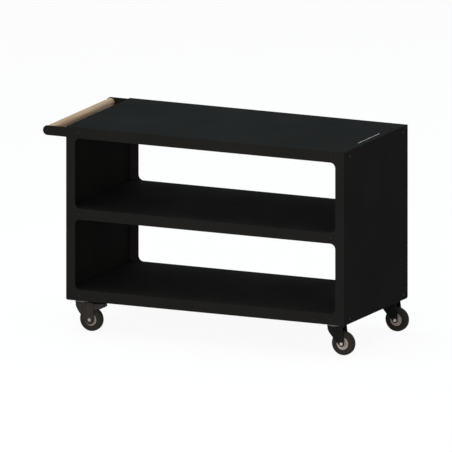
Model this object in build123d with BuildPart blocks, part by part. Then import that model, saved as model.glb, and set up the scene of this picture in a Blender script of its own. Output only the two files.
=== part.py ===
import math
import os

from build123d import *

os.makedirs("parts", exist_ok=True)

# Carcass of folded sheet steel, millimetres
carcass_length = 1000.0
carcass_depth = 494.0
frame_sheet = 3.0
sheet = 2.0
rail_height = 37.0
stile_width = 32.0
window_height = 233.5
window_corner = 18.0
foot_corner = 6.0
fold_radius = 1.5
fold_relief = 3.0
rim_setback = 1.0
slot_length = 178.0
slot_width = 5.0
slot_inset = 25.5

# Handle at the left end
handle_reach = 83.5
arm_height = 32.5
arm_step = 3.0
arm_root_fillet = 2.5
bar_radius = 14.0
bar_chamfer = 1.0
insert_radius = 5.0
insert_length = 13.0

# Button-head screws and hexagon nuts
shank_radius = 3.0
head_radius = 5.25
head_height = 3.3
shoulder_reach = 0.85
shoulder_rise = 0.6
crown_reach = 0.55
socket_flats = 4.0
socket_depth = 2.0
nut_flats = 10.0
nut_height = 5.0
nut_cap = 1.5
thread_stand_out = 1.0
hole_clearance = 0.3
thread_clearance = 0.05
frame_screw_inset = 46.0
panel_screw_inset = 40.0

# Cross rails that carry the casters
rail_sheet = 3.0
rail_fold = 2.0

# Casters
caster_inset_x = 47.0
caster_inset_y = 39.5
caster_trail = 27.5
axle_drop = 65.0
wheel_radius = 40.0
plate_clearance = 2.0
plate_thickness = 3.0
plate_corner = 8.0
plate_bolt_edge = 9.0
dish_radius = 30.0
dish_depth = 6.5
dish_wall = 2.5
dish_chamfer = 1.5
kingpin_radius = 5.0
kingpin_head_radius = 9.0
kingpin_head_height = 4.5
washer_radius = 25.0
washer_bore = 14.0
washer_thickness = 1.4
running_clearance = 0.05
turning_gap = 0.3

# Fork
crown_radius = 29.0
crown_back = 24.0
fork_sheet = 3.0
fork_gap = 32.0
fork_lead = 7.0
fork_trailing = 30.0
fork_end_radius = 9.5
braked_trailing = 40.0
braked_end_radius = 16.0
crease_starts = (2.0, 11.5)
crease_width = 3.5
crease_depth = 1.2

# Axle, sleeve, hub and tyre
axle_radius = 4.0
axle_head_radius = 5.8
axle_head_height = 4.5
axle_head_chamfer = 1.5
sleeve_wall = 2.0
hub_radius = 21.0
hub_half_width = 10.5
hub_boss_radius = 11.0
hub_end_play = 0.6
hub_rim = 1.5
hub_dish = 2.5
hub_key_radius = 24.5
hub_key_half_width = 5.0
tyre_half_width = 13.0
tread_half_width = 4.0
tyre_bead = 3.0

# Foot brake of the two casters at the handle end
pedal_travel = 12.0
pedal_sheet = 1.8
pedal_side_gap = 0.6
pedal_back = 28.0
pedal_tip = 78.5
pedal_back_drop = 12.0
pedal_tip_drop = 10.0
pedal_tip_height = 10.0
pedal_skirt_drop = 32.0
pedal_skirt_rise = 5.0
pedal_heel = 12.0
pedal_toe = 13.0
pedal_tip_round = 8.0
pin_x = 33.5
pin_drop = 20.0
pin_radius = 2.5
pin_head_radius = 4.0
pin_head_height = 2.0
shoe_from = 44.0
shoe_length = 9.0
shoe_half_width = 10.0
shoe_clearance = 0.5

# Heights and faces that follow from the sizes above
carcass_height = 3 * rail_height + 2 * window_height
base_z = axle_drop + wheel_radius
top_z = base_z + carcass_height
overhang = max(head_height, caster_trail + wheel_radius - caster_inset_x)
left_x = (handle_reach - carcass_length - overhang) / 2
right_x = left_x + carcass_length
middle_x = (left_x + right_x) / 2
inner_y = carcass_depth / 2 - frame_sheet
shelf_tops = {
    "bottom_shelf": base_z + rail_height,
    "middle_shelf": base_z + 2 * rail_height + window_height,
    "worktop": top_z,
}
panel_shelves = ("bottom_shelf", "worktop")
arm_z = top_z - arm_step - arm_height / 2
bar_x = left_x - handle_reach + arm_height / 2
screw_hole = shank_radius + hole_clearance
nut_corner = nut_flats / 2 / math.cos(math.radians(30))
weld_nut_height = nut_height + 2 * thread_stand_out + nut_cap
frame_screw_xs = (left_x + frame_screw_inset, right_x - frame_screw_inset)
panel_screw_ys = (panel_screw_inset - carcass_depth / 2, carcass_depth / 2 - panel_screw_inset)
caster_x = {"left": left_x + caster_inset_x, "right": right_x - caster_inset_x}
caster_y = {"front": caster_inset_y - carcass_depth / 2, "rear": carcass_depth / 2 - caster_inset_y}
caster_spots = {f"{depth}_{side}": (x, y) for depth, y in caster_y.items() for side, x in caster_x.items()}
plate_length = 2 * (caster_inset_x - 2 * sheet - plate_clearance)
plate_width = 2 * (caster_inset_y - frame_sheet - sheet - plate_clearance)
braked_spots = [spot for spot in caster_spots if spot.endswith("left")]
free_spots = [spot for spot in caster_spots if spot.endswith("right")]


def front_plane(y):
    """Upright plane at depth y that faces forwards: its x runs along the table, its y runs up."""
    return Plane(origin=(0, y, 0), x_dir=(1, 0, 0), z_dir=(0, -1, 0))


def end_plane(x):
    """Upright plane at length x that faces right: its x runs to the rear, its y runs up."""
    return Plane(origin=(x, 0, 0), x_dir=(0, 1, 0), z_dir=(1, 0, 0))


def facing(x, y, z, direction):
    """Plane at a point, looking out along a direction, that seats a screw."""
    return Plane(origin=(x, y, z), z_dir=direction)


def write(part, name):
    part.label = name
    export_step(part, f"parts/{name}.step")


def write_at_casters(part, piece, spots):
    for spot in spots:
        x, y = caster_spots[spot]
        write(part.moved(Location((x, y, base_z))), f"{spot}_{piece}")


def build_frame(back_face):
    """Front or rear frame: one flat sheet with two rounded windows and an arm for the handle bar."""
    with BuildPart() as frame:
        with BuildSketch(front_plane(back_face)) as outline:
            with Locations((middle_x, base_z + carcass_height / 2)):
                Rectangle(carcass_length, carcass_height)
            fillet(outline.vertices().group_by(Axis.Y)[0], foot_corner)
            with Locations(((bar_x + left_x + stile_width) / 2, arm_z)):
                Rectangle(left_x + stile_width - bar_x, arm_height)
            with Locations((bar_x, arm_z)):
                Circle(arm_height / 2)
            for edge_z in (arm_z - arm_height / 2, arm_z + arm_height / 2):
                arm_root = outline.vertices().sort_by_distance((left_x, edge_z))[0]
                fillet(arm_root, arm_root_fillet)
            for shelf in ("bottom_shelf", "middle_shelf"):
                with Locations((middle_x, shelf_tops[shelf] + window_height / 2)):
                    RectangleRounded(
                        carcass_length - 2 * stile_width, window_height, window_corner, mode=Mode.SUBTRACT
                    )
            for top in shelf_tops.values():
                with Locations(*[(x, top - rail_height / 2) for x in frame_screw_xs]):
                    Circle(screw_hole, mode=Mode.SUBTRACT)
            with Locations((bar_x, arm_z)):
                Circle(screw_hole, mode=Mode.SUBTRACT)
        extrude(amount=frame_sheet)
    return frame.part


write(build_frame(-inner_y), "front_frame")
write(build_frame(carcass_depth / 2), "rear_frame")


def frame_seats(top, depth):
    """Screw places on the front and rear rails of one shelf, at a depth below the frame's outer face."""
    seats = []
    for side in (-1, 1):
        y = side * (carcass_depth / 2 - depth)
        for x in frame_screw_xs:
            seats.append(facing(x, y, top - rail_height / 2, (0, side, 0)))
    return seats


def panel_seats(top, depth):
    """Screw places on both end panels at one shelf, at a depth below the panel's outer face."""
    seats = []
    for side in (-1, 1):
        x = middle_x + side * (carcass_length / 2 - depth)
        for y in panel_screw_ys:
            seats.append(facing(x, y, top - rail_height / 2, (side, 0, 0)))
    return seats


def build_panel(left_face):
    """End panel between the frames."""
    with BuildPart() as panel:
        with BuildSketch(end_plane(left_face)) as outline:
            with Locations((0, base_z + carcass_height / 2)):
                Rectangle(2 * inner_y, carcass_height)
            fillet(outline.vertices().group_by(Axis.Y)[0], foot_corner)
            for shelf in panel_shelves:
                with Locations(*[(y, shelf_tops[shelf] - rail_height / 2) for y in panel_screw_ys]):
                    Circle(screw_hole, mode=Mode.SUBTRACT)
        extrude(amount=sheet)
    return panel.part


write(build_panel(left_x), "left_panel")
write(build_panel(right_x - sheet), "right_panel")


def build_pan(top, end_screws, slotted):
    """Shelf or worktop: a sheet with its edges folded down and closed weld nuts behind the screws."""
    rim_bottom = top - rail_height + rim_setback
    rim_rise = rail_height - rim_setback - sheet
    rim_length = carcass_length - 2 * (sheet + fold_relief)
    end_rim_length = 2 * (inner_y - fold_relief)
    with BuildPart() as pan:
        with BuildSketch(Plane.XY.offset(top - sheet)):
            with Locations((middle_x, 0)):
                Rectangle(carcass_length - 2 * sheet, 2 * inner_y)
        extrude(amount=sheet)
        fillet(pan.faces().sort_by(Axis.Z)[-1].outer_wire().edges(), fold_radius)
        with BuildSketch(Plane.XY.offset(rim_bottom)):
            with Locations(*[(middle_x, side * (inner_y - sheet / 2)) for side in (-1, 1)]):
                Rectangle(rim_length, sheet)
            with Locations((left_x + 1.5 * sheet, 0), (right_x - 1.5 * sheet, 0)):
                Rectangle(sheet, end_rim_length)
        extrude(amount=rim_rise)
        seats = frame_seats(top, frame_sheet)
        if end_screws:
            seats += panel_seats(top, sheet)
        for seat in seats:
            with BuildSketch(seat.offset(-sheet)):
                RegularPolygon(nut_flats / 2, 6, major_radius=False)
            extrude(amount=-weld_nut_height)
            with BuildSketch(seat):
                Circle(shank_radius + thread_clearance)
            extrude(amount=nut_cap - sheet - weld_nut_height, mode=Mode.SUBTRACT)
        if slotted:
            with BuildSketch(Plane.XY.offset(top)):
                with Locations((right_x - slot_inset, 0)):
                    SlotOverall(slot_length, slot_width, rotation=90)
            extrude(amount=-sheet, mode=Mode.SUBTRACT)
    return pan.part


write(build_pan(shelf_tops["worktop"], True, True), "worktop")
write(build_pan(shelf_tops["middle_shelf"], False, False), "middle_shelf")
write(build_pan(shelf_tops["bottom_shelf"], True, False), "bottom_shelf")


def plate_bolts():
    """Bolt places of a caster plate, from its swivel axis."""
    x = plate_length / 2 - plate_bolt_edge
    y = plate_width / 2 - plate_bolt_edge
    return [(x, y), (x, -y), (-x, y), (-x, -y)]


def build_rail(side):
    """Cross rail: a channel, open upwards, between the rims of the bottom shelf."""
    half_width = caster_inset_x - 2 * sheet
    bottom = base_z + plate_thickness
    rise = rail_height - sheet - plate_thickness
    center = caster_x[side]
    screw_face = left_x if side == "left" else right_x
    with BuildPart() as rail:
        with BuildSketch(front_plane(inner_y - sheet)) as section:
            with Locations((center, bottom + rise / 2)):
                Rectangle(2 * half_width, rise)
            fillet(section.vertices().group_by(Axis.Y)[0], rail_fold + rail_sheet)
            with BuildSketch(mode=Mode.SUBTRACT) as hollow:
                with Locations((center, bottom + rail_sheet + rise / 2)):
                    Rectangle(2 * (half_width - rail_sheet), rise)
                fillet(hollow.vertices().group_by(Axis.Y)[0], rail_fold)
        extrude(amount=2 * (inner_y - sheet))
        with BuildSketch(Plane.XY.offset(bottom)):
            for y in caster_y.values():
                with Locations(*[(center + dx, y + dy) for dx, dy in plate_bolts()]):
                    Circle(screw_hole)
                with Locations((center, y)):
                    Circle(kingpin_head_radius + hole_clearance)
        extrude(amount=rail_sheet, mode=Mode.SUBTRACT)
        with BuildSketch(end_plane(screw_face - caster_inset_x)):
            with Locations(*[(y, shelf_tops["bottom_shelf"] - rail_height / 2) for y in panel_screw_ys]):
                Circle(nut_corner + hole_clearance)
        extrude(amount=2 * caster_inset_x, mode=Mode.SUBTRACT)
    return rail.part


write(build_rail("left"), "left_caster_rail")
write(build_rail("right"), "right_caster_rail")


# Wooden bar between the arms, bored at both ends for its inserts
with BuildPart() as handle_bar:
    with BuildSketch(front_plane(inner_y)):
        with Locations((bar_x, arm_z)):
            Circle(bar_radius)
    extrude(amount=2 * inner_y)
    chamfer(handle_bar.edges().filter_by(GeomType.CIRCLE), bar_chamfer)
    for end, inward in ((inner_y, 1), (-inner_y, -1)):
        with BuildSketch(front_plane(end)):
            with Locations((bar_x, arm_z)):
                Circle(insert_radius + thread_clearance)
        extrude(amount=inward * (insert_length + thread_stand_out), mode=Mode.SUBTRACT)
write(handle_bar.part, "handle_bar")

# Threaded inserts of the bar
with BuildPart() as handle_inserts:
    for end, inward in ((inner_y, 1), (-inner_y, -1)):
        with BuildSketch(front_plane(end)):
            with Locations((bar_x, arm_z)):
                Circle(insert_radius)
                Circle(shank_radius + thread_clearance, mode=Mode.SUBTRACT)
        extrude(amount=inward * insert_length)
write(handle_inserts.part, "handle_inserts")


def build_screw(length):
    """Button-head screw: its head, with a shoulder and a flat crown, stands on z = 0, its shank runs down."""
    with BuildPart() as screw:
        with BuildSketch(Plane.XZ):
            with BuildLine():
                Polyline(
                    (0, head_height),
                    (0, -length),
                    (shank_radius, -length),
                    (shank_radius, 0),
                    (head_radius, 0),
                    (shoulder_reach * head_radius, shoulder_rise * head_height),
                    (crown_reach * head_radius, head_height),
                    close=True,
                )
            make_face()
        revolve(axis=Axis.Z)
        with BuildSketch(Plane.XY.offset(head_height)):
            RegularPolygon(socket_flats / 2, 6, major_radius=False)
        extrude(amount=-socket_depth, mode=Mode.SUBTRACT)
    return screw.part


def build_nut():
    """Hexagon nut: it bears on z = 0 and stands below it."""
    with BuildPart() as nut:
        with BuildSketch(Plane.XY):
            RegularPolygon(nut_flats / 2, 6, major_radius=False)
            Circle(shank_radius + thread_clearance, mode=Mode.SUBTRACT)
        extrude(amount=-nut_height)
    return nut.part


frame_screw = build_screw(frame_sheet + sheet + nut_height + thread_stand_out)
panel_screw = build_screw(2 * sheet + nut_height + thread_stand_out)
handle_screw = build_screw(frame_sheet + insert_length - thread_stand_out)
caster_bolt = build_screw(plate_thickness + rail_sheet + nut_height + thread_stand_out)
nut_shape = build_nut()

with BuildPart() as frame_screws:
    for shelf_top in shelf_tops.values():
        with Locations(*frame_seats(shelf_top, 0)):
            add(frame_screw)
write(frame_screws.part, "frame_screws")

with BuildPart() as panel_screws:
    for shelf in panel_shelves:
        with Locations(*panel_seats(shelf_tops[shelf], 0)):
            add(panel_screw)
write(panel_screws.part, "panel_screws")

with BuildPart() as handle_screws:
    with Locations(*[facing(bar_x, side * carcass_depth / 2, arm_z, (0, side, 0)) for side in (-1, 1)]):
        add(handle_screw)
write(handle_screws.part, "handle_screws")


def bolt_spots(height):
    """Bolt places of all four caster plates, at a height above the carcass underside."""
    spots = []
    for x, y in caster_spots.values():
        for dx, dy in plate_bolts():
            spots.append(facing(x + dx, y + dy, base_z + height, (0, 0, -1)))
    return spots


with BuildPart() as caster_bolts:
    with Locations(*bolt_spots(0)):
        add(caster_bolt)
write(caster_bolts.part, "caster_bolts")

with BuildPart() as caster_nuts:
    with Locations(*bolt_spots(plate_thickness + rail_sheet)):
        add(nut_shape)
write(caster_nuts.part, "caster_nuts")

# Caster pieces are drawn about the swivel axis, with z = 0 at the carcass underside
washer_top = -dish_depth
crown_top = washer_top - washer_thickness - turning_gap
crown_bottom = crown_top - fork_sheet
leg_inner = fork_gap / 2
leg_outer = leg_inner + fork_sheet
kingpin_bore = kingpin_radius + running_clearance
sleeve_radius = axle_radius + thread_clearance + sleeve_wall

# Top plate with its pressed round head
with BuildPart() as caster_plate:
    with BuildSketch(Plane.XY):
        RectangleRounded(plate_length, plate_width, plate_corner)
        with Locations(*plate_bolts()):
            Circle(screw_hole, mode=Mode.SUBTRACT)
    extrude(amount=plate_thickness)
    with BuildSketch(Plane.XY):
        Circle(dish_radius)
    extrude(amount=-dish_depth)
    chamfer(caster_plate.edges().group_by(Axis.Z)[0], dish_chamfer)
    with BuildSketch(Plane.XY.offset(plate_thickness)):
        Circle(dish_radius - dish_wall)
    extrude(amount=-(plate_thickness + dish_depth - dish_wall), mode=Mode.SUBTRACT)
    with BuildSketch(Plane.XY.offset(-dish_depth)):
        Circle(kingpin_radius + thread_clearance)
    extrude(amount=dish_wall, mode=Mode.SUBTRACT)
write_at_casters(caster_plate.part, "caster_plate", caster_spots)

# Washer that the fork turns against
with BuildPart() as thrust_washer:
    with BuildSketch(Plane.XY.offset(washer_top)):
        Circle(washer_radius)
        Circle(washer_bore, mode=Mode.SUBTRACT)
    extrude(amount=-washer_thickness)
write_at_casters(thrust_washer.part, "thrust_washer", caster_spots)

# Kingpin: head in the dish, spread end under the fork's crown
with BuildPart() as kingpin:
    with BuildSketch(Plane.XY.offset(dish_wall - dish_depth)):
        Circle(kingpin_head_radius)
    extrude(amount=kingpin_head_height)
    with BuildSketch(Plane.XY.offset(dish_wall - dish_depth)):
        Circle(kingpin_radius)
    extrude(amount=crown_bottom - turning_gap - dish_wall + dish_depth)
    with BuildSketch(Plane.XY.offset(crown_bottom - turning_gap)):
        Circle(kingpin_head_radius)
    extrude(amount=-kingpin_head_height)
    chamfer(kingpin.edges().group_by(Axis.Z)[0], kingpin_head_height / 3)
write_at_casters(kingpin.part, "kingpin", caster_spots)


def build_fork(trailing, end_radius, braked):
    """Pressed fork: a strip bent round the front, cut to tapered legs, under a round crown."""
    bend_x = leg_outer - crown_radius
    with BuildPart() as fork:
        with BuildSketch(Plane.XY.offset(crown_top)):
            for reach, mode in ((leg_outer, Mode.ADD), (leg_inner, Mode.SUBTRACT)):
                with Locations((bend_x, 0)):
                    Circle(reach, mode=mode)
                with Locations((bend_x + wheel_radius, 0)):
                    Rectangle(2 * wheel_radius, 2 * reach, mode=mode)
        extrude(amount=crown_top * -1 - axle_drop - end_radius)
        with BuildSketch(front_plane(0)):
            with BuildLine():
                Polyline(
                    (-crown_radius - 1, crown_top),
                    (-crown_radius - 1, crown_top - fork_lead),
                    (trailing, crown_top),
                    close=True,
                )
            make_face()
            with Locations((caster_trail, -axle_drop)):
                Circle(end_radius)
            make_hull()
        extrude(amount=crown_radius, both=True, mode=Mode.INTERSECT)
        with BuildSketch(Plane.XY.offset(crown_top)):
            Circle(crown_radius)
            with Locations(((bend_x + crown_back) / 2, 0)):
                Rectangle(crown_back - bend_x, 2 * leg_outer)
        extrude(amount=-fork_sheet)
        for outside in (leg_outer, crease_depth - leg_outer):
            with BuildSketch(front_plane(outside)):
                for start in crease_starts:
                    with Locations((start + crease_width / 2, crown_bottom - axle_drop / 2)):
                        Rectangle(crease_width, axle_drop)
            extrude(amount=crease_depth, mode=Mode.SUBTRACT)
        with BuildSketch(Plane.XY.offset(crown_top)):
            Circle(kingpin_bore)
        extrude(amount=-fork_sheet, mode=Mode.SUBTRACT)
        with BuildSketch(front_plane(leg_outer)):
            with Locations((caster_trail, -axle_drop)):
                Circle(axle_radius + thread_clearance)
            if braked:
                with Locations((pin_x, -pin_drop)):
                    Circle(pin_radius + thread_clearance)
        extrude(amount=2 * leg_outer, mode=Mode.SUBTRACT)
    return fork.part


write_at_casters(build_fork(fork_trailing, fork_end_radius, False), "fork", free_spots)
write_at_casters(build_fork(braked_trailing, braked_end_radius, True), "fork", braked_spots)

# Axle bolt with a round head at each end
with BuildPart() as axle:
    for face, outward in ((leg_outer, -1), (-leg_outer, 1)):
        with BuildSketch(front_plane(face)):
            with Locations((caster_trail, -axle_drop)):
                Circle(axle_head_radius)
        extrude(amount=outward * axle_head_height)
    for end in (0, -1):
        chamfer(axle.edges().group_by(Axis.Y)[end], axle_head_chamfer)
    with BuildSketch(front_plane(leg_outer)):
        with Locations((caster_trail, -axle_drop)):
            Circle(axle_radius)
    extrude(amount=2 * leg_outer)
write_at_casters(axle.part, "axle", caster_spots)

# Sleeve that the hub runs on
with BuildPart() as axle_sleeve:
    with BuildSketch(front_plane(leg_inner)):
        with Locations((caster_trail, -axle_drop)):
            Circle(sleeve_radius)
            Circle(axle_radius + thread_clearance, mode=Mode.SUBTRACT)
    extrude(amount=2 * leg_inner)
write_at_casters(axle_sleeve.part, "axle_sleeve", caster_spots)

# Wheel sections are drawn above the axle, then turned about it
wheel_plane = Plane(origin=(caster_trail, 0, -axle_drop), x_dir=(0, 1, 0), z_dir=(1, 0, 0))
wheel_axis = Axis((caster_trail, 0, -axle_drop), (0, 1, 0))
boss_half = leg_inner - hub_end_play

# Hub with a boss, a dished face on each side and a key that holds the tyre
with BuildPart() as hub:
    with BuildSketch(wheel_plane):
        with BuildLine():
            half = [
                (boss_half, sleeve_radius + running_clearance),
                (boss_half, hub_boss_radius),
                (hub_half_width - hub_dish, hub_boss_radius),
                (hub_half_width, hub_radius - hub_rim),
                (hub_half_width, hub_radius),
                (hub_key_half_width, hub_radius),
                (hub_key_half_width, hub_key_radius),
            ]
            Polyline(*half, *[(-y, r) for y, r in reversed(half)], close=True)
        make_face()
    revolve(axis=wheel_axis)
write_at_casters(hub.part, "hub", caster_spots)

# Tyre: each shoulder turns from the side wall to the tread in three steps
side_radius = (hub_radius + wheel_radius) / 2
shoulder_width = tyre_half_width - tread_half_width
shoulder_height = wheel_radius - side_radius
with BuildPart() as tyre:
    with BuildSketch(wheel_plane):
        with BuildLine():
            half = [
                (hub_key_half_width, hub_key_radius),
                (hub_key_half_width, hub_radius),
                (hub_half_width, hub_radius),
                (tyre_half_width, hub_radius + tyre_bead),
            ]
            for angle in (0, 30, 60, 90):
                across = shoulder_width * math.cos(math.radians(angle))
                outward = shoulder_height * math.sin(math.radians(angle))
                half.append((tread_half_width + across, side_radius + outward))
            Polyline(*half, *[(-y, r) for y, r in reversed(half)], close=True)
        make_face()
    revolve(axis=wheel_axis)
write_at_casters(tyre.part, "tyre", caster_spots)

# Brake pedal: a pressed lever with side skirts, hinged between the legs
pedal_half = leg_inner - pedal_side_gap


def web_drop(x):
    """Depth of the pedal's top face at a place along it."""
    share = (x - pedal_back) / (pedal_tip - pedal_back)
    return pedal_back_drop + share * (pedal_tip_drop - pedal_back_drop)


with BuildPart() as brake_pedal:
    with BuildSketch(front_plane(0)):
        with BuildLine():
            Polyline(
                (pedal_back, -pedal_back_drop),
                (pedal_tip, -pedal_tip_drop),
                (pedal_tip, -pedal_tip_drop - pedal_tip_height),
                (pedal_tip - pedal_toe, -pedal_skirt_drop + pedal_skirt_rise),
                (pedal_back + pedal_heel, -pedal_skirt_drop),
                (pedal_back, -pedal_skirt_drop),
                close=True,
            )
        make_face()
    extrude(amount=pedal_half, both=True)
    fillet(brake_pedal.edges().filter_by(Axis.Y).group_by(Axis.X)[0], pedal_sheet)
    fillet(brake_pedal.edges().filter_by(Axis.Z).group_by(Axis.X)[-1], pedal_tip_round)
    with BuildSketch(front_plane(0)):
        with BuildLine():
            Polyline(
                (pedal_back - 1, -web_drop(pedal_back - 1) - pedal_sheet),
                (pedal_tip - pedal_tip_round, -web_drop(pedal_tip - pedal_tip_round) - pedal_sheet),
                (pedal_tip - pedal_tip_round, -pedal_skirt_drop - 1),
                (pedal_back - 1, -pedal_skirt_drop - 1),
                close=True,
            )
        make_face()
    extrude(amount=pedal_half - pedal_sheet, both=True, mode=Mode.SUBTRACT)
    with BuildSketch(front_plane(pedal_half)):
        with Locations((pin_x, -pin_drop)):
            Circle(pin_radius + running_clearance)
    extrude(amount=2 * pedal_half, mode=Mode.SUBTRACT)
write_at_casters(brake_pedal.part, "brake_pedal", braked_spots)

# Brake shoe under the pedal: hollowed to meet the tyre when the pedal is down
turn = math.radians(pedal_travel)
wheel_dx = caster_trail - pin_x
wheel_dz = pin_drop - axle_drop
pressed_x = pin_x + wheel_dx * math.cos(turn) - wheel_dz * math.sin(turn)
pressed_z = -pin_drop + wheel_dx * math.sin(turn) + wheel_dz * math.cos(turn)
with BuildPart() as brake_shoe:
    with BuildSketch(front_plane(0)):
        with BuildLine():
            Polyline(
                (shoe_from, -web_drop(shoe_from) - pedal_sheet),
                (shoe_from + shoe_length, -web_drop(shoe_from + shoe_length) - pedal_sheet),
                (shoe_from + shoe_length, pressed_z + wheel_radius / 2),
                (shoe_from, pressed_z + wheel_radius / 2),
                close=True,
            )
        make_face()
        with Locations((pressed_x, pressed_z)):
            Circle(wheel_radius + shoe_clearance, mode=Mode.SUBTRACT)
    extrude(amount=shoe_half_width, both=True)
write_at_casters(brake_shoe.part, "brake_shoe", braked_spots)

# Pin across the legs that the pedal turns on
with BuildPart() as brake_pin:
    with BuildSketch(front_plane(leg_outer + pin_head_height)):
        with Locations((pin_x, -pin_drop)):
            Circle(pin_head_radius)
    extrude(amount=pin_head_height)
    with BuildSketch(front_plane(leg_outer)):
        with Locations((pin_x, -pin_drop)):
            Circle(pin_radius)
    extrude(amount=2 * leg_outer)
    with BuildSketch(front_plane(-leg_outer)):
        with Locations((pin_x, -pin_drop)):
            Circle(pin_head_radius)
    extrude(amount=pin_head_height)
write_at_casters(brake_pin.part, "brake_pin", braked_spots)
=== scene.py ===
# %% [markdown]
# # A serving table on casters
#
# The table is a carcass of black sheet steel, open at the front and the rear, with a worktop, two
# shelves, a wooden push bar at the left end and four swivel casters. The exact solids come from a
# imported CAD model, so this lesson doesn't place anything by eye. It loads that model, keeps the pieces
# whose shape is right, and makes finer ones where a turned or pressed piece deserves a smoother mesh.

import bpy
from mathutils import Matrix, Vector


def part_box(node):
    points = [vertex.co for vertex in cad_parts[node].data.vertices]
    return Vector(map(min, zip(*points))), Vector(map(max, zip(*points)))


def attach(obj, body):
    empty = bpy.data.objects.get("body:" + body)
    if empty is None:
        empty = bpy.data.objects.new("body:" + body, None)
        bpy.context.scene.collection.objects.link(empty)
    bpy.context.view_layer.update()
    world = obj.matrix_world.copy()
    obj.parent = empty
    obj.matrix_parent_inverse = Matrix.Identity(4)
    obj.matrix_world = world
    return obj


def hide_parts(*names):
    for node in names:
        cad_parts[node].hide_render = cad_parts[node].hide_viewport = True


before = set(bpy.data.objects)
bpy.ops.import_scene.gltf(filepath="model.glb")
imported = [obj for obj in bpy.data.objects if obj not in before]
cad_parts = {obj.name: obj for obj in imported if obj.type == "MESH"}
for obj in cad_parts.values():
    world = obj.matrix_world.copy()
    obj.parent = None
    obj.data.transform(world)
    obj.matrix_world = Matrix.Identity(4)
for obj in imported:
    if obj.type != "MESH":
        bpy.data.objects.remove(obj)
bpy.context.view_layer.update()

# %% Tools for the lesson
import math

import bmesh
import bpy
from mathutils import Matrix, Vector

scene = bpy.context.scene
scene.view_settings.view_transform = "Standard"

# %% [markdown]
# ## Camera
#
# Parallel edges of the table stay parallel in the photograph, so its camera is orthographic. Such a
# camera has no lens to guess: its angles follow from the slopes of three edges, and its scale from a
# known length. One corner of the carcass then pins the frame. Aiming at a point worked out from that
# corner keeps the camera's shift at zero, so other views stay centred.

# %% Camera
PHOTO_PIXELS = 452
PIXELS_PER_METRE = 306.49
CORNER_PIXEL = (66.05, 299.55)
AZIMUTH = math.radians(24.92)
ELEVATION = math.radians(11.95)
CAMERA_DISTANCE = 5
CAMERA_REACH = 50

sight_right = Vector((math.cos(AZIMUTH), math.sin(AZIMUTH), 0))
sight_back = Vector((
    math.sin(AZIMUTH) * math.cos(ELEVATION),
    -math.cos(AZIMUTH) * math.cos(ELEVATION),
    math.sin(ELEVATION),
))
sight_up = sight_back.cross(sight_right)
corner = Vector((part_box("left_panel")[0].x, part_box("front_frame")[0].y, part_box("front_frame")[0].z))
aim = corner + sight_right * (PHOTO_PIXELS / 2 - CORNER_PIXEL[0]) / PIXELS_PER_METRE
aim += sight_up * (CORNER_PIXEL[1] - PHOTO_PIXELS / 2) / PIXELS_PER_METRE

lens = bpy.data.cameras.new("photo_camera")
lens.type = "ORTHO"
lens.ortho_scale = PHOTO_PIXELS / PIXELS_PER_METRE
lens.clip_end = CAMERA_REACH
camera = bpy.data.objects.new("photo_camera", lens)
camera.location = aim + sight_back * CAMERA_DISTANCE
camera.rotation_euler = sight_back.to_track_quat("Z", "Y").to_euler()
scene.collection.objects.link(camera)
scene.camera = camera
print("camera aims at", tuple(round(v, 4) for v in aim), "and sees", round(lens.ortho_scale, 4), "m")

# %% [markdown]
# ## Room and light
#
# The photograph is a studio shot on white, with cool light from above and warm light from the front. The
# world gives an even, neutral fill. A large warm lamp lights the front, a weak one the right end, a cool
# one hangs over the worktop, and a weaker cool one behind the table looks through the rear windows onto
# the shelves. White is only what the camera and mirror-like surfaces see, through Light Path, so the
# black steel isn't washed out by extra light.


# %% Helpers for shaders
def link(tree, *pairs):
    """Joins sockets in a node tree, as pairs of output and input."""
    for out_socket, in_socket in pairs:
        tree.links.new(out_socket, in_socket)


def seen_directly(tree):
    """A factor that is 1 where the camera, a reflection or a see-through ray looks straight at this."""
    rays = tree.nodes.new("ShaderNodeLightPath")
    seen = rays.outputs["Is Camera Ray"]
    for ray in ("Is Glossy Ray", "Is Transmission Ray"):
        either = tree.nodes.new("ShaderNodeMath")
        either.operation = "MAXIMUM"
        link(tree, (seen, either.inputs[0]), (rays.outputs[ray], either.inputs[1]))
        seen = either.outputs[0]
    return seen


print("shader helpers ready")

# %% World
FILL_STRENGTH = 0.38
FILL_COLOUR = (0.98, 1.0, 0.98, 1)
WHITE_STRENGTH = 1.0
WHITE_COLOUR = (1, 1, 1, 1)

world = bpy.data.worlds.new("studio")
scene.world = world
world.use_nodes = True
tree = world.node_tree
tree.nodes.clear()
fill = tree.nodes.new("ShaderNodeBackground")
fill.inputs["Color"].default_value = FILL_COLOUR
fill.inputs["Strength"].default_value = FILL_STRENGTH
white = tree.nodes.new("ShaderNodeBackground")
white.inputs["Color"].default_value = WHITE_COLOUR
white.inputs["Strength"].default_value = WHITE_STRENGTH
chosen = tree.nodes.new("ShaderNodeMixShader")
out = tree.nodes.new("ShaderNodeOutputWorld")
link(
    tree,
    (seen_directly(tree), chosen.inputs[0]),
    (fill.outputs[0], chosen.inputs[1]),
    (white.outputs[0], chosen.inputs[2]),
    (chosen.outputs[0], out.inputs["Surface"]),
)
print("world fill", FILL_STRENGTH)


# %% Lamps
def add_lamp(name, place, target, size, watts, colour):
    """A square soft box that looks at a target."""
    light = bpy.data.lights.new(name, "AREA")
    light.size = size
    light.energy = watts
    light.color = colour
    lamp = bpy.data.objects.new(name, light)
    lamp.location = place
    lamp.rotation_euler = (Vector(place) - Vector(target)).to_track_quat("Z", "Y").to_euler()
    scene.collection.objects.link(lamp)


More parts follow.
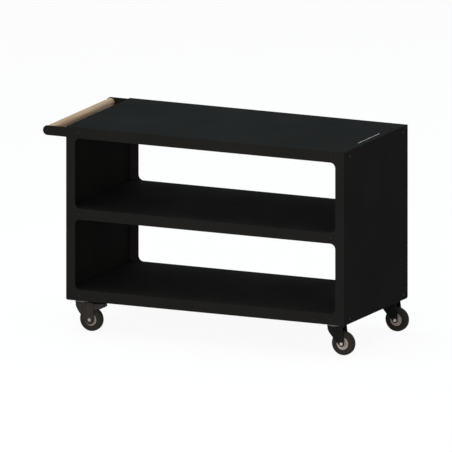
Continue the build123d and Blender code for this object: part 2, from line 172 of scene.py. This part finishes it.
add_lamp("front_lamp", (0.5, -4.2, 1.0), (0, 0, 0.4), size=2.0, watts=76.5, colour=(1.0, 0.912, 0.784))
add_lamp("end_lamp", (2.2, -0.6, 2.2), (0.5, 0, 0.5), size=1.2, watts=2.2, colour=(1.0, 0.78, 0.55))
add_lamp("top_lamp", (-0.4, 0.2, 3.6), (0, 0, 0.6), size=2.4, watts=50, colour=(0.603, 0.90, 1.0))
add_lamp("rear_lamp", (0.6, 4.0, 2.2), (0, 0, 0.3), size=2.0, watts=13.5, colour=(0.267, 0.633, 1.0))
print(len(bpy.data.lights), "lamps")

# %% [markdown]
# ## Floor
#
# A floor catches the shadows that show that the casters stand on something. Its paint is a plain pale
# grey for the light that it throws back. What the camera sees of it is mostly an even white glow, with a
# little of the light and shade on top, so that the floor is white in the open and a soft shadow is left
# near the casters.

# %% Floor
FLOOR_HALF = 12
FLOOR_PAINT = (0.8, 0.8, 0.8, 1)
FLOOR_GLOW = 0.93
FLOOR_SHADE = (0.10, 0.10, 0.10, 1)

floor_paint = bpy.data.materials.new("floor_white")
floor_paint.use_nodes = True
tree = floor_paint.node_tree
tree.nodes.clear()
matt = tree.nodes.new("ShaderNodeBsdfDiffuse")
matt.inputs["Color"].default_value = FLOOR_PAINT
glow = tree.nodes.new("ShaderNodeEmission")
glow.inputs["Strength"].default_value = FLOOR_GLOW
shade = tree.nodes.new("ShaderNodeBsdfDiffuse")
shade.inputs["Color"].default_value = FLOOR_SHADE
lit = tree.nodes.new("ShaderNodeAddShader")
mixed = tree.nodes.new("ShaderNodeMixShader")
out = tree.nodes.new("ShaderNodeOutputMaterial")
link(
    tree,
    (glow.outputs[0], lit.inputs[0]),
    (shade.outputs[0], lit.inputs[1]),
    (seen_directly(tree), mixed.inputs[0]),
    (matt.outputs[0], mixed.inputs[1]),
    (lit.outputs[0], mixed.inputs[2]),
    (mixed.outputs[0], out.inputs["Surface"]),
)
shape = bmesh.new()
bmesh.ops.create_grid(shape, x_segments=1, y_segments=1, size=FLOOR_HALF)
floor_mesh = bpy.data.meshes.new("floor")
shape.to_mesh(floor_mesh)
shape.free()
floor_mesh.materials.append(floor_paint)
floor = bpy.data.objects.new("floor", floor_mesh)
scene.collection.objects.link(floor)
print("floor", round(floor.dimensions.x, 1), "m wide")

# %% [markdown]
# ## Powder coat
#
# Powder is sprayed on dry and melts in an oven into one tough skin with a fine orange-peel texture. It
# could be a plain black with a roughness, but up close that looks like card. Two scales of noise make it
# a coat: a grain of about a millimetre for the orange peel, which drives the bump and also paints a
# little shade into the low spots of the peel, and slow clouds over a hand's width, where the film is
# thicker and shinier.


# %% Helpers for finishes
def start_finish(name, metallic=0.0, specular=0.5):
    """A new material with its shader, and Object coordinates to draw patterns on."""
    finish = bpy.data.materials.new(name)
    finish.use_nodes = True
    tree = finish.node_tree
    shader = tree.nodes["Principled BSDF"]
    shader.inputs["Metallic"].default_value = metallic
    shader.inputs["Specular IOR Level"].default_value = specular
    place = tree.nodes.new("ShaderNodeTexCoord").outputs["Object"]
    return finish, tree, shader, place


def noise(tree, place, scale, detail=3.0, roughness=0.5):
    """Soft random clouds; scale is how many there are in a metre."""
    clouds = tree.nodes.new("ShaderNodeTexNoise")
    clouds.inputs["Scale"].default_value = scale
    clouds.inputs["Detail"].default_value = detail
    clouds.inputs["Roughness"].default_value = roughness
    link(tree, (place, clouds.inputs["Vector"]))
    return clouds.outputs["Fac"]


def ramp(tree, factor, *stops):
    """Turns a factor into a colour; a stop is a place and a colour or a grey."""
    colours = tree.nodes.new("ShaderNodeValToRGB")
    band = colours.color_ramp
    while len(band.elements) < len(stops):
        band.elements.new(0.5)
    for element, (position, colour) in zip(band.elements, stops):
        element.position = position
        element.color = (*colour, 1) if isinstance(colour, tuple) else (colour, colour, colour, 1)
    link(tree, (factor, colours.inputs["Fac"]))
    return colours.outputs["Color"]


def multiplied(tree, colour, layer):
    """A colour that a second one darkens."""
    product = tree.nodes.new("ShaderNodeMix")
    product.data_type = "RGBA"
    product.blend_type = "MULTIPLY"
    product.inputs["Factor"].default_value = 1.0
    link(tree, (colour, product.inputs["A"]), (layer, product.inputs["B"]))
    return product.outputs["Result"]


def paint(tree, shader, colour, roughness):
    """Gives a shader its colour and its roughness."""
    link(tree, (colour, shader.inputs["Base Color"]), (roughness, shader.inputs["Roughness"]))


def bump(tree, shader, height, strength, depth):
    """Raises the surface by a height map, depth in metres."""
    relief = tree.nodes.new("ShaderNodeBump")
    relief.inputs["Strength"].default_value = strength
    relief.inputs["Distance"].default_value = depth
    link(tree, (height, relief.inputs["Height"]), (relief.outputs["Normal"], shader.inputs["Normal"]))
    return relief


print("finish helpers ready")

# %% Powder coat
THIN_FILM = (0.0164, 0.0161, 0.0154)
THICK_FILM = (0.0188, 0.0185, 0.0177)


def make_powder_coat():
    """Black coat with a fine orange peel and slow clouds of film thickness."""
    finish, tree, shader, place = start_finish("black_powder_coat", specular=0.006)
    thickness = noise(tree, place, scale=5.0, detail=2.0)
    peel = noise(tree, place, scale=620.0, detail=2.0, roughness=0.6)
    film = ramp(tree, thickness, (0.3, THIN_FILM), (0.7, THICK_FILM))
    # Painted shade: the low spots of the orange peel are darkened in the colour.
    painted_peel_shade = ramp(tree, peel, (0.35, 0.80), (0.60, 1.0))
    gloss = ramp(tree, thickness, (0.3, 0.86), (0.7, 0.78))
    paint(tree, shader, multiplied(tree, film, painted_peel_shade), gloss)
    bump(tree, shader, peel, strength=0.6, depth=0.0002)
    return finish


powder_coat = make_powder_coat()
print("made", powder_coat.name)

# %% [markdown]
# ## Sheet steel with eased edges
#
# A laser cuts these sheets with crisp edges, and powder rounds them a little, which is why real sheet
# edges show a fine line of light. The flat frames, the end panels, the folded shelves and the rails
# under them are copied from the CAD mesh. It comes as loose triangles, so a copy is merged and its flat
# faces are joined first, and only then does a narrow bevel run along the sharp edges. Edges that end in
# an inner corner, or that are shorter than the bevel can follow, are left as they are. The folded pieces
# have their round folds already, and a bevel would widen the view through the slot, so theirs is tiny.

# %% Helpers for pieces
SMOOTH_ANGLE = math.radians(50)


def set_shading(shape, smooth_angle=SMOOTH_ANGLE):
    """Smooth faces, with a hard line kept wherever two faces meet at more than an angle."""
    for face in shape.faces:
        face.smooth = True
    for edge in shape.edges:
        edge.smooth = len(edge.link_faces) == 2 and edge.calc_face_angle() < smooth_angle


def add_piece(name, shape, finish, body, slot, *nodes):
    """Turns a bmesh into a piece that rides on a body and stands for CAD nodes."""
    mesh = bpy.data.meshes.new(name)
    shape.to_mesh(mesh)
    shape.free()
    mesh.materials.append(finish)
    piece = bpy.data.objects.new(name, mesh)
    scene.collection.objects.link(piece)
    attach(piece, body)
    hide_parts(*nodes)
    return piece


print("faces that meet at under", round(math.degrees(SMOOTH_ANGLE)), "degrees are shaded smooth")

# %% Sheet steel with eased edges
FLAT_SHEETS = (
    "front_frame", "rear_frame", "left_panel", "right_panel", "left_caster_rail", "right_caster_rail",
)
FOLDED_SHEETS = ("worktop", "middle_shelf", "bottom_shelf")
SHEET_EASE = 0.0005
FOLDED_EASE = 0.0001
EASE_STEPS = 2
MERGE_DISTANCE = 2e-6
FLAT_ANGLE = math.radians(0.5)
SHARP_ANGLE = math.radians(45)
SHORTEST_EDGE = 0.0003


def eased_copy(node, width):
    """A merged copy of a CAD node's mesh with its sharp edges rounded."""
    shape = bmesh.new()
    shape.from_mesh(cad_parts[node].data)
    bmesh.ops.remove_doubles(shape, verts=shape.verts, dist=MERGE_DISTANCE)
    bmesh.ops.dissolve_limit(shape, angle_limit=FLAT_ANGLE, verts=shape.verts, edges=shape.edges)
    sharp = [edge for edge in shape.edges if edge.calc_face_angle() > SHARP_ANGLE]
    inner = {point for edge in sharp if not edge.is_convex for point in edge.verts}
    outer = [
        edge for edge in sharp
        if edge.is_convex and edge.calc_length() > SHORTEST_EDGE and not inner.intersection(edge.verts)
    ]
    bmesh.ops.bevel(
        shape, geom=outer, offset=width, offset_type="OFFSET", segments=EASE_STEPS, profile=0.5,
        affect="EDGES", clamp_overlap=False, material=-1,
    )
    bmesh.ops.remove_doubles(shape, verts=shape.verts, dist=MERGE_DISTANCE)
    set_shading(shape)
    return shape


def even_shading(piece):
    """Lets large flat faces decide the normals, so that they stay flat beside a bevel."""
    weights = piece.modifiers.new("even_shading", "WEIGHTED_NORMAL")
    weights.keep_sharp = True


for node in FLAT_SHEETS + FOLDED_SHEETS:
    width = FOLDED_EASE if node in FOLDED_SHEETS else SHEET_EASE
    sheet = add_piece(
        f"{node}_coated", eased_copy(node, width), powder_coat, "carcass", "black_powder_coat", node
    )
    even_shading(sheet)
    print(sheet.name, len(sheet.data.polygons), "faces")

# %% [markdown]
# ## Turned pieces
#
# The push bar comes off a lathe, and so do the shapes of a hub and a tyre. On screen a lathe is a spin:
# a half section is drawn beside an axis and swept once round it. A full spin meets itself, so its seam
# is merged, and the normals are worked out again because a spin can turn a shape inside out. Blender
# makes the faces of a spin in another order on each run, so they are sorted by the points that they join.

# %% Turned pieces
SEAM_MERGE = 1e-6


def sort_faces(shape):
    """Puts edges and faces in an order that is the same on each run."""
    shape.verts.index_update()
    count = len(shape.verts)

    def rank(item):
        number = 0
        for index in sorted(point.index for point in item.verts):
            number = number * count + index
        return number

    shape.edges.sort(key=rank)
    shape.faces.sort(key=rank)


def turned(profile, centre, axis, steps, closed=False):
    """Spins a half section, points of (distance along the axis, radius), about an axis."""
    axis = Vector(axis).normalized()
    side = axis.orthogonal().normalized()
    shape = bmesh.new()
    points = [shape.verts.new(centre + axis * along + side * radius) for along, radius in profile]
    lines = [shape.edges.new(pair) for pair in zip(points, points[1:])]
    if closed:
        lines.append(shape.edges.new((points[-1], points[0])))
    bmesh.ops.spin(
        shape, geom=points + lines, cent=centre, axis=axis, dvec=(0, 0, 0), angle=2 * math.pi,
        steps=steps, use_merge=True,
    )
    bmesh.ops.remove_doubles(shape, verts=shape.verts, dist=SEAM_MERGE)
    sort_faces(shape)
    bmesh.ops.recalc_face_normals(shape, faces=shape.faces)
    set_shading(shape)
    return shape


def arc(centre_along, centre_radius, half_width, height, first, last, steps):
    """Points of an elliptic arc in a half section; 0 degrees points along the axis, 90 outwards."""
    points = []
    for step in range(steps + 1):
        angle = math.radians(first + (last - first) * step / steps)
        points.append((
            centre_along + half_width * math.cos(angle),
            centre_radius + height * math.sin(angle),
        ))
    return points


def mirrored(half):
    """A whole section from its right half, which starts at the axis end and runs outwards."""
    return half + [(-along, radius) for along, radius in reversed(half)]


print("lathe ready")

# %% [markdown]
# ## Oiled wood
#
# The bar is a dowel of pale, close-grained hardwood. Its grain runs along the bar, so all its patterns
# are noise squeezed across the bar and stretched along it: broad bands of early and late wood, fine
# streaks, and short dark pores. A light oil leaves a low sheen that is a little stronger on the bands.

# %% Oiled wood
LATE_WOOD = (0.520, 0.317, 0.192)
MIDDLE_WOOD = (0.664, 0.424, 0.273)
EARLY_WOOD = (0.726, 0.480, 0.322)


def stretched(tree, place, scale):
    """The same coordinates, with a scale of their own along x, y and z."""
    mapping = tree.nodes.new("ShaderNodeMapping")
    mapping.inputs["Scale"].default_value = scale
    link(tree, (place, mapping.inputs["Vector"]))
    return mapping.outputs["Vector"]


def make_oiled_wood():
    """Pale wood whose grain runs along y."""
    finish, tree, shader, place = start_finish("oiled_wood", specular=0.03)
    bands = noise(tree, stretched(tree, place, (70, 3.5, 70)), scale=1.0, detail=4.0, roughness=0.55)
    streaks = noise(tree, stretched(tree, place, (420, 7, 420)), scale=1.0, detail=3.0, roughness=0.6)
    pores = noise(tree, stretched(tree, place, (1500, 60, 1500)), scale=1.0, detail=1.0)
    wood = ramp(tree, bands, (0.30, LATE_WOOD), (0.52, MIDDLE_WOOD), (0.75, EARLY_WOOD))
    wood = multiplied(tree, wood, ramp(tree, streaks, (0.30, 0.86), (0.62, 1.0)))
    wood = multiplied(tree, wood, ramp(tree, pores, (0.26, 0.62), (0.36, 1.0)))
    paint(tree, shader, wood, ramp(tree, bands, (0.3, 0.56), (0.7, 0.44)))
    bump(tree, shader, streaks, strength=0.25, depth=0.0002)
    return finish


oiled_wood = make_oiled_wood()
print("made", oiled_wood.name)

# %% Push bar
BAR_RADIUS = 0.014
BAR_EASE = 0.0012
BAR_EASE_STEPS = 5
BAR_STEPS = 64
BORE_RADIUS = 0.00505
BORE_DEPTH = 0.014
END_RING = 0.011

bar_low, bar_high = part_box("handle_bar")
bar_middle = (bar_low + bar_high) / 2
bar_end = (bar_high.y - bar_low.y) / 2
half_bar = [(bar_end - BORE_DEPTH, 0), (bar_end - BORE_DEPTH, BORE_RADIUS), (bar_end, BORE_RADIUS)]
half_bar += [(bar_end, END_RING)]
half_bar += arc(bar_end - BAR_EASE, BAR_RADIUS - BAR_EASE, BAR_EASE, BAR_EASE, 0, 90, BAR_EASE_STEPS)
bar = add_piece(
    "push_bar", turned(mirrored(half_bar), bar_middle, (0, 1, 0), BAR_STEPS),
    oiled_wood, "carcass", "oiled_wood", "handle_bar",
)
print(bar.name, "is", round(bar_end * 2000), "mm long and has", len(bar.data.polygons), "faces")

# %% [markdown]
# ## Screws
#
# Button-head screws have a low dome with a hexagon socket for a key. The shank and the dome are turned,
# and the spin stops at the lip of the socket, which leaves a round hole. Its rim is extruded twice: the
# first new ring is pushed onto the outline of a hexagon and the second one down to the bottom, so the
# round head turns into the socket without a cut. One screw is made at the origin, then copied to each
# place where the CAD model has one.

# %% A button-head screw
HEAD_RADIUS = 0.00525
HEAD_HEIGHT = 0.0033
HEAD_SMOOTH = math.radians(35)
DOME_SHARES = (0.12, 0.35, 0.58, 0.78, 0.92, 1.0)
DOME_POWER = 2.2
LIP_SHARE = 0.55
SOCKET_HALF = 0.002
SOCKET_DEPTH = 0.002
SHANK_RADIUS = 0.003
SHANK_CHAMFER = 0.0008
SCREW_STEPS = 24


def extrude_to_hexagon(shape, rim, height):
    """Extrudes a round rim and lays the new ring on the socket's hexagon at a height."""
    made = bmesh.ops.extrude_edge_only(shape, edges=rim)["geom"]
    for point in [item for item in made if isinstance(item, bmesh.types.BMVert)]:
        angle = math.atan2(point.co.y, point.co.x)
        reach = SOCKET_HALF / math.cos(angle % math.radians(60) - math.radians(30))
        point.co = Vector((reach * math.cos(angle), reach * math.sin(angle), height))
    return [item for item in made if isinstance(item, bmesh.types.BMEdge)]


def button_screw(length):
    """A screw whose head stands on z = 0 and whose shank runs down."""
    section = [(-length, 0), (-length, SHANK_RADIUS - SHANK_CHAMFER)]
    section += [(SHANK_CHAMFER - length, SHANK_RADIUS), (0, SHANK_RADIUS), (0, HEAD_RADIUS)]
    for share in DOME_SHARES:
        reach = LIP_SHARE + (1 - LIP_SHARE) * math.sqrt(1 - share ** DOME_POWER)
        section.append((HEAD_HEIGHT * share, HEAD_RADIUS * reach))
    shape = turned(section, Vector((0, 0, 0)), (0, 0, 1), SCREW_STEPS)
    rim = [edge for edge in shape.edges if edge.is_boundary]
    for height in (HEAD_HEIGHT, HEAD_HEIGHT - SOCKET_DEPTH):
        rim = extrude_to_hexagon(shape, rim, height)
    bmesh.ops.edgeloop_fill(shape, edges=rim)
    sort_faces(shape)
    bmesh.ops.recalc_face_normals(shape, faces=shape.faces)
    set_shading(shape, HEAD_SMOOTH)
    return shape


def set_screws(name, length, places, finish, slot, node):
    """One piece that holds a copy of a screw at each place, looking out along its direction."""
    one = button_screw(length)
    pattern = bpy.data.meshes.new(f"{name}_pattern")
    one.to_mesh(pattern)
    one.free()
    shape = bmesh.new()
    for seat, direction in places:
        start = len(shape.verts)
        shape.from_mesh(pattern)
        shape.verts.ensure_lookup_table()
        turn = Vector(direction).to_track_quat("Z", "Y").to_matrix().to_4x4()
        bmesh.ops.transform(shape, matrix=Matrix.Translation(seat) @ turn, verts=shape.verts[start:])
    bpy.data.meshes.remove(pattern)
    return add_piece(name, shape, finish, "carcass", slot, node)


print("a screw head is", HEAD_RADIUS * 2000, "mm across")


# %% Black screws
def make_black_screw():
    """Blackened steel, a little patchy."""
    finish, tree, shader, place = start_finish("black_screw", specular=0.1)
    patches = noise(tree, place, scale=400.0)
    black = ramp(tree, patches, (0.35, 0.011), (0.7, 0.018))
    paint(tree, shader, black, ramp(tree, patches, (0.35, 0.42), (0.7, 0.58)))
    bump(tree, shader, noise(tree, place, scale=2500.0, detail=1.0), strength=0.15, depth=0.00005)
    return finish


black_screw = make_black_screw()
print("made", black_screw.name)

# %% Screws in their places
FRAME_SCREW = 0.011
PANEL_SCREW = 0.010
HANDLE_SCREW = 0.015
RAIL_HALF_HEIGHT = 0.0185

front_face, rear_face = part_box("front_frame")[0].y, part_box("rear_frame")[1].y
left_face, right_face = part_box("left_panel")[0].x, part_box("right_panel")[1].x
low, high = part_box("frame_screws")
middle_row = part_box("middle_shelf")[1].z - RAIL_HALF_HEIGHT
frame_places = []
for face, direction in ((front_face, (0, -1, 0)), (rear_face, (0, 1, 0))):
    for height in (low.z + HEAD_RADIUS, middle_row, high.z - HEAD_RADIUS):
        for along in (low.x + HEAD_RADIUS, high.x - HEAD_RADIUS):
            frame_places.append((Vector((along, face, height)), direction))
low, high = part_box("panel_screws")
panel_places = []
for face, direction in ((left_face, (-1, 0, 0)), (right_face, (1, 0, 0))):
    for height in (low.z + HEAD_RADIUS, high.z - HEAD_RADIUS):
        for across in (low.y + HEAD_RADIUS, high.y - HEAD_RADIUS):
            panel_places.append((Vector((face, across, height)), direction))
low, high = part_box("handle_screws")
handle_middle = (low + high) / 2
handle_places = [
    (Vector((handle_middle.x, front_face, handle_middle.z)), (0, -1, 0)),
    (Vector((handle_middle.x, rear_face, handle_middle.z)), (0, 1, 0)),
]
for name, length, places in (
    ("frame_screws", FRAME_SCREW, frame_places),
    ("panel_screws", PANEL_SCREW, panel_places),
    ("handle_screws", HANDLE_SCREW, handle_places),
):
    screws = set_screws(f"{name}_domed", length, places, black_screw, "black_screw", name)
    print(screws.name, len(places), "screws,", len(screws.data.polygons), "faces")

# %% [markdown]
# ## Zinc plate
#
# The caster plates, nuts, bolts and axles are steel with a thin coat of zinc, which dulls to a soft
# grey with faint cloudy crystals. A metallic shader gives its reflections, and two noises vary the grey
# and the roughness, so that a washer doesn't look like a mirror. The pieces under the carcass get a
# darker copy of the same zinc, which paints in the shade they sit in, so there are two greys. The CAD
# shapes are right as they are and only change their material; a bevel in the shader bends the light at
# their edges, as a pressed edge does, where a bevel in the mesh would crowd the many small holes. The
# bolts get the same domed heads as the screws.

# %% Zinc plate
PRESSED_EASE = 0.0006
EASE_SAMPLES = 4


def soften_edges(tree, relief):
    """Rounds the light on sharp edges under a bump, and leaves the shape alone."""
    rounded = tree.nodes.new("ShaderNodeBevel")
    rounded.samples = EASE_SAMPLES
    rounded.inputs["Radius"].default_value = PRESSED_EASE
    link(tree, (rounded.outputs["Normal"], relief.inputs["Normal"]))


def make_zinc(name, dark, light):
    """Cloudy zinc between two greys."""
    finish, tree, shader, place = start_finish(name, metallic=1.0)
    clouds = noise(tree, place, scale=160.0, detail=4.0, roughness=0.6)
    grey = ramp(tree, clouds, (0.32, dark), (0.68, light))
    paint(tree, shader, grey, ramp(tree, clouds, (0.3, 0.66), (0.7, 0.5)))
    crystals = noise(tree, place, scale=1800.0, detail=2.0)
    soften_edges(tree, bump(tree, shader, crystals, strength=0.12, depth=0.00008))
    return finish


# Painted shade: the zinc of the pieces under the carcass is a darker copy of the axles' zinc.
painted_shade_zinc = make_zinc("painted_shade_zinc", dark=(0.096, 0.092, 0.088), light=(0.142, 0.136, 0.130))
bright_zinc = make_zinc("bright_zinc", dark=(0.312, 0.296, 0.287), light=(0.450, 0.430, 0.418))
print("made", painted_shade_zinc.name, "and", bright_zinc.name)

# %% Zinc pieces
CORNERS = ("front_left", "front_right", "rear_left", "rear_right")
CASTER_BOLT = 0.012
BOLT_INSET = 0.009


def dress(finish, *nodes):
    """Gives CAD nodes another material and leaves their shape alone."""
    for node in nodes:
        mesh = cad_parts[node].data
        mesh.materials.clear()
        mesh.materials.append(finish)


dress(painted_shade_zinc, "caster_nuts")
for corner_name in CORNERS:
    for part in ("caster_plate", "thrust_washer", "kingpin", "axle_sleeve"):
        dress(painted_shade_zinc, f"{corner_name}_{part}")
bolt_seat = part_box("front_frame")[0].z
bolt_places = []
for corner_name in CORNERS:
    low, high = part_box(f"{corner_name}_caster_plate")
    for along in (low.x + BOLT_INSET, high.x - BOLT_INSET):
        for across in (low.y + BOLT_INSET, high.y - BOLT_INSET):
            bolt_places.append((Vector((along, across, bolt_seat)), (0, 0, -1)))
bolts = set_screws("caster_bolts_domed", CASTER_BOLT, bolt_places, painted_shade_zinc, "zinc_steel", "caster_bolts")
print(bolts.name, len(bolt_places), "bolts")

# %% [markdown]
# ## Brass inserts
#
# A screw doesn't hold well in end grain, so each end of the bar has a brass sleeve with a thread inside.
# It hardly shows, but it gets its own yellow metal, a little tarnished in patches.

# %% Brass inserts
TARNISHED_BRASS = (0.42, 0.28, 0.10)
CLEAN_BRASS = (0.62, 0.45, 0.19)


def make_brass():
    """Yellow metal with tarnish in soft patches."""
    finish, tree, shader, place = start_finish("brass_insert", metallic=1.0)
    tarnish = noise(tree, place, scale=300.0)
    metal = ramp(tree, tarnish, (0.35, TARNISHED_BRASS), (0.65, CLEAN_BRASS))
    paint(tree, shader, metal, ramp(tree, tarnish, (0.3, 0.5), (0.7, 0.3)))
    return finish


brass = make_brass()
dress(brass, "handle_inserts")
print(brass.name, "on the handle inserts")

# %% [markdown]
# ## Forks and brake pedals
#
# A fork is pressed from one strip of steel, bent round the front of the wheel, and a press never leaves
# a knife edge. The CAD forks and pedals have the right shape, so they keep their own meshes, and their
# coat rounds the light at the edges. The two casters with a brake have wider legs and a satin coat that
# looks lighter, and the other two are nearly as black as the carcass.

# %% Forks and brake pedals
BRAKED = ("front_left", "rear_left")


def make_pressed_coat(name, dark, light, sheen):
    """A thin coat on pressed steel, with a soft flow in its colour and gloss."""
    finish, tree, shader, place = start_finish(name, specular=sheen)
    flow = noise(tree, place, scale=45.0)
    coat = ramp(tree, flow, (0.3, dark), (0.7, light))
    paint(tree, shader, coat, ramp(tree, flow, (0.3, 0.55), (0.7, 0.42)))
    grain = noise(tree, place, scale=1400.0, detail=2.0)
    soften_edges(tree, bump(tree, shader, grain, strength=0.25, depth=0.0001))
    return finish


fork_black = make_pressed_coat(
    "fork_black", dark=(0.0075, 0.0075, 0.0073), light=(0.0110, 0.0108, 0.0105), sheen=0.04
)
fork_satin = make_pressed_coat(
    "fork_satin", dark=(0.0345, 0.0304, 0.0293), light=(0.0432, 0.0387, 0.0374), sheen=0.03
)
for corner_name in CORNERS:
    dress(fork_satin if corner_name in BRAKED else fork_black, f"{corner_name}_fork")
for corner_name in BRAKED:
    dress(fork_satin, f"{corner_name}_brake_pedal", f"{corner_name}_brake_pin")
print("coats on", len(CORNERS), "forks and", len(BRAKED), "pedals")

# %% [markdown]
# ## Hubs
#
# The hub is moulded in a light, slightly warm grey plastic. Its face is a dish that slopes from a narrow
# rim down to the boss, so the side of the dish that looks at the light is bright and the other is dim.
# Moulds have no sharp corners, so the section has eased edges. A mould texture gives an even roughness.

# %% Grey plastic
HUB_DARK = (0.362, 0.315, 0.308)
HUB_LIGHT = (0.440, 0.386, 0.378)


def make_grey_hub():
    """Warm grey moulded plastic with a fine mould texture."""
    finish, tree, shader, place = start_finish("grey_hub", specular=0.2)
    flow = noise(tree, place, scale=70.0)
    grey = ramp(tree, flow, (0.3, HUB_DARK), (0.7, HUB_LIGHT))
    paint(tree, shader, grey, ramp(tree, flow, (0.3, 0.55), (0.7, 0.45)))
    bump(tree, shader, noise(tree, place, scale=3000.0, detail=1.0), strength=0.12, depth=0.00006)
    return finish


grey_hub = make_grey_hub()
print("made", grey_hub.name)

# %% Hubs
HUB_STEPS = 72
HUB_EASE = 0.0006
HUB_EASE_STEPS = 3
HUB_BORE = 0.0061
BORE_CHAMFER = 0.0004
BOSS_RADIUS = 0.011
DISH = [(0.0092, 0.0111), (0.0083, 0.0114), (0.0081, 0.0121), (0.0083, 0.0129), (0.0102, 0.0188)]
RIM_FACE = 0.0105
RIM_INSIDE = 0.0195
RIM_RADIUS = 0.0210
RIM_DRAFT = 0.0001
KEY_HALF = 0.0050
KEY_RADIUS = 0.0245
KEY_EASE = 0.0002


def wheel_centre(corner_name):
    """The middle of a caster's wheel."""
    low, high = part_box(f"{corner_name}_hub")
    return (low + high) / 2


boss_end = (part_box("front_left_hub")[1].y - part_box("front_left_hub")[0].y) / 2
half_hub = [(boss_end - BORE_CHAMFER, HUB_BORE), (boss_end, HUB_BORE + BORE_CHAMFER)]
half_hub += arc(boss_end - HUB_EASE, BOSS_RADIUS - HUB_EASE, HUB_EASE, HUB_EASE, 0, 90, HUB_EASE_STEPS)
half_hub += DISH
half_hub += arc(RIM_FACE - HUB_EASE, RIM_INSIDE + HUB_EASE, HUB_EASE, HUB_EASE, -60, 0, HUB_EASE_STEPS)
half_hub += [(RIM_FACE, RIM_RADIUS - RIM_DRAFT), (KEY_HALF + KEY_EASE, RIM_RADIUS)]
half_hub += [(KEY_HALF, RIM_RADIUS + KEY_EASE), (KEY_HALF, KEY_RADIUS)]
for corner_name in CORNERS:
    hub = add_piece(
        f"{corner_name}_hub_moulded",
        turned(mirrored(half_hub), wheel_centre(corner_name), (0, 1, 0), HUB_STEPS, closed=True),
        grey_hub, f"{corner_name}_wheel", "grey_hub", f"{corner_name}_hub",
    )
    print(hub.name, len(hub.data.polygons), "faces")

# %% [markdown]
# ## Tyres
#
# The tyre is a solid rubber ring with round shoulders. Its section is spun like the hub's, with what a
# mould leaves on rubber: a low lip beside the hub, a ring groove in each side wall and a fine flash line
# round the middle of the tread. Rubber is rough and greyish, and dust settles on it in soft patches.

# %% Black rubber
CLEAN_RUBBER = (0.0212, 0.0195, 0.0178)
DUSTY_RUBBER = (0.0372, 0.0342, 0.0310)


def make_black_rubber():
    """Rough rubber with dust in soft patches."""
    finish, tree, shader, place = start_finish("black_rubber", specular=0.08)
    dust = noise(tree, place, scale=38.0, detail=4.0, roughness=0.6)
    rubber = ramp(tree, dust, (0.32, CLEAN_RUBBER), (0.72, DUSTY_RUBBER))
    paint(tree, shader, rubber, ramp(tree, dust, (0.3, 0.66), (0.7, 0.85)))
    grain = noise(tree, place, scale=1600.0, detail=2.0, roughness=0.6)
    bump(tree, shader, grain, strength=0.3, depth=0.00012)
    return finish


black_rubber = make_black_rubber()
for corner_name in BRAKED:
    dress(black_rubber, f"{corner_name}_brake_shoe")
print(black_rubber.name, "on", len(BRAKED), "brake shoes")

# %% Tyres
TYRE_STEPS = 96
TYRE_HALF = 0.013
TYRE_RADIUS = 0.040
TREAD_HALF = 0.0040
SIDE_RADIUS = 0.0305
SHOULDER_STEPS = 10
LIP_ALONG = 0.0116
LIP_RADIUS = 0.0221
LIP_HALF = 0.0012
LIP_HEIGHT = 0.0008
WALL_FOOT = (0.0122, 0.0240)
WALL_START = 0.0248
GROOVE_DEPTH = 0.0005
GROOVE_RADII = (0.0276, 0.0279, 0.0287, 0.0290)
FLASH_HALF = 0.0004
FLASH_HEIGHT = 0.00012

tread = TYRE_RADIUS - FLASH_HEIGHT
groove_floor = TYRE_HALF - GROOVE_DEPTH
half_tyre = [(KEY_HALF, KEY_RADIUS), (KEY_HALF, RIM_RADIUS + RIM_DRAFT), (RIM_FACE, RIM_RADIUS)]
half_tyre += arc(LIP_ALONG, LIP_RADIUS, LIP_HALF, LIP_HEIGHT, -60, 80, 4)
half_tyre += [WALL_FOOT, (TYRE_HALF, WALL_START)]
half_tyre += zip((TYRE_HALF, groove_floor, groove_floor, TYRE_HALF), GROOVE_RADII)
half_tyre += arc(
    TREAD_HALF, SIDE_RADIUS, TYRE_HALF - TREAD_HALF, tread - SIDE_RADIUS, 0, 90, SHOULDER_STEPS
)
half_tyre += [(FLASH_HALF, tread), (FLASH_HALF / 2, TYRE_RADIUS)]
for corner_name in CORNERS:
    tyre = add_piece(
        f"{corner_name}_tyre_moulded",
        turned(mirrored(half_tyre), wheel_centre(corner_name), (0, 1, 0), TYRE_STEPS, closed=True),
        black_rubber, f"{corner_name}_wheel", "black_rubber", f"{corner_name}_tyre",
    )
    print(tyre.name, len(tyre.data.polygons), "faces")

# %% [markdown]
# ## Axles
#
# Each wheel turns on a bolt with a low, round head at both ends. It is one more lathe piece: a shank, a
# thin collar that lies on the fork, and a dome. The dome is part of an ellipse, because a real head is
# pressed into a cup that is wider than it is deep. The ends of the section meet the axis, so the spin
# closes both domes with a pole.

# %% Axles
AXLE_STEPS = 40
AXLE_RADIUS = 0.004
AXLE_HEAD = 0.0045
AXLE_REACH = 0.0058
COLLAR = 0.0010
COLLAR_LEDGE = 0.0003
DOME_STEPS = 8

for corner_name in CORNERS:
    low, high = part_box(f"{corner_name}_axle")
    leg_face = (high.y - low.y) / 2 - AXLE_HEAD
    collar_face = leg_face + COLLAR
    half_axle = arc(collar_face, 0, AXLE_HEAD - COLLAR, AXLE_REACH - COLLAR_LEDGE, 0, 90, DOME_STEPS)
    half_axle += [(collar_face, AXLE_REACH), (leg_face, AXLE_REACH), (leg_face, AXLE_RADIUS)]
    axle = add_piece(
        f"{corner_name}_axle_bolt",
        turned(mirrored(half_axle), (low + high) / 2, (0, 1, 0), AXLE_STEPS),
        bright_zinc, f"{corner_name}_swivel", "zinc_steel", f"{corner_name}_axle",
    )
    print(axle.name, len(axle.data.polygons), "faces")
